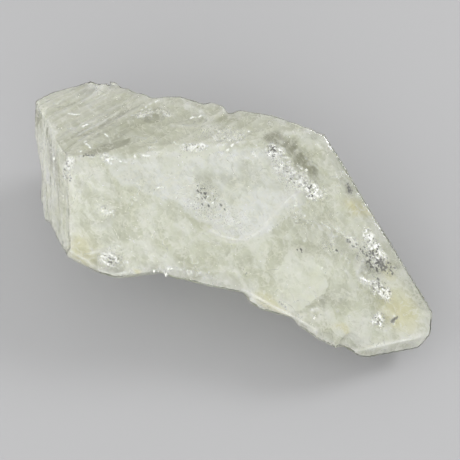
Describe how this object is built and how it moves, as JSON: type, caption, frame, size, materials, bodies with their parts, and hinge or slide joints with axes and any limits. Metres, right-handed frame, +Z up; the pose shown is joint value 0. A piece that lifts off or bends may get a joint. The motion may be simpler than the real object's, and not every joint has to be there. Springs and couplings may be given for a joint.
{
  "type": "rough quartz crystal",
  "caption": "Rough quartz crystal lying on a flat foot, with a broken heel, large flat faces on top and a natural point at the other end.",
  "frame": {"origin": "middle of the bounding box in plan, on the flat foot that it rests on", "axes": "+X along the crystal's long axis towards the natural point, +Z up"},
  "size_m": [0.1194, 0.0558, 0.0401],
  "materials": {
    "quartz": "milky translucent quartz, glossy growth faces and satin fracture surfaces"
  },
  "bodies": {
    "root": {"quartz_crystal": "quartz"}
  },
  "joints": []
}
